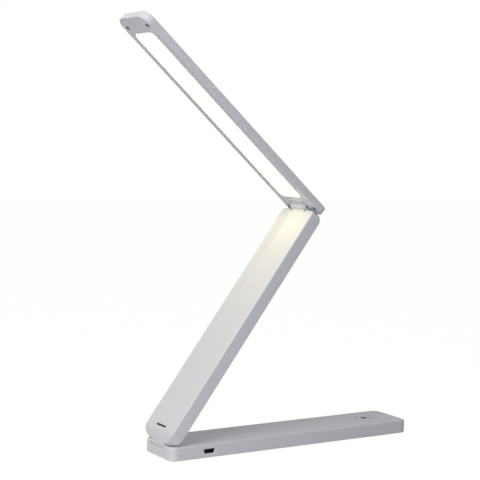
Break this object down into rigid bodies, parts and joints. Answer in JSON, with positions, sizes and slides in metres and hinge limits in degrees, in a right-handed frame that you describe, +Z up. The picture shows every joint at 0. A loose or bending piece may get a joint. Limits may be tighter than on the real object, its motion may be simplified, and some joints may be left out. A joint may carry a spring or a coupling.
{
  "type": "folding led desk lamp",
  "caption": "Pocket desk lamp of three flat bars that fold onto each other: weighted base, arm and thin head with a lit window.",
  "frame": {"origin": "centre of the base's footprint, on the surface it stands on", "axes": "+X from the hinge end of the base to its key end, +Z up, the charging port on the -Y side"},
  "size_m": [0.2242, 0.038, 0.2934],
  "materials": {
    "white_plastic": "fine moulded satin",
    "dark_steel": "blackened screw",
    "white_steel": "lacquered like the housings",
    "bare_steel": "pressed, bare",
    "grey_rubber": "matt",
    "battery_foil": "crinkled pouch",
    "sticky_foam": "soft foam tape",
    "circuit_board": "solder mask",
    "led_board": "white mask on metal core",
    "black_plastic": "moulded",
    "plated_steel": "tin plated",
    "dark_lens": "smoked lens",
    "lead_sleeve": "flexible sleeve",
    "natural_nylon": "plain",
    "opal_diffuser": "opal, lit from within",
    "clear_acrylic": "polished",
    "reflector_film": "white film",
    "led_package": "phosphor"
  },
  "bodies": {
    "base": {"base_shell": "white_plastic", "base_cover": "white_plastic", "base_screws": "dark_steel", "rubber_foot": "grey_rubber", "ballast_plate": "bare_steel", "battery_cell": "battery_foil", "battery_pad": "sticky_foam", "control_board": "circuit_board", "board_components": "black_plastic", "board_screws": "dark_steel", "usb_socket": "plated_steel", "usb_contact_block": "black_plastic", "touch_sensor": "circuit_board", "touch_lens": "dark_lens", "base_leads": "lead_sleeve", "lower_bracket": "white_steel", "lower_bracket_screws": "dark_steel", "lower_washers": "natural_nylon"},
    "arm": {"arm_shell": "white_plastic", "arm_cover": "white_plastic", "arm_screws": "dark_steel", "lower_leaf": "bare_steel", "lower_leaf_screws": "dark_steel", "lower_hinge_pin": "bare_steel", "upper_leaf": "bare_steel", "upper_leaf_screws": "dark_steel", "upper_hinge_pin": "bare_steel", "arm_leads": "lead_sleeve", "lower_slot_insert": "black_plastic", "upper_slot_insert": "white_plastic"},
    "head": {"head_shell": "white_plastic", "head_bezel": "white_plastic", "head_screws": "dark_steel", "diffuser": "opal_diffuser", "light_guide": "clear_acrylic", "reflector_sheet": "reflector_film", "led_boards": "led_board", "leds": "led_package", "head_leads": "lead_sleeve", "upper_bracket": "white_steel", "upper_bracket_screws": "dark_steel", "upper_washers": "natural_nylon"}
  },
  "joints": [
    {"name": "arm_hinge", "type": "hinge", "parent": "base", "child": "arm", "pos_m": [-0.0928, 0, 0.0099], "axis": [0, -1, 0], "range_deg": [-53.4, 13.5]},
    {"name": "head_hinge", "type": "hinge", "parent": "arm", "child": "head", "pos_m": [0.01142, 0, 0.16728], "axis": [0, -1, 0], "range_deg": [-9.7, 95.2]}
  ]
}
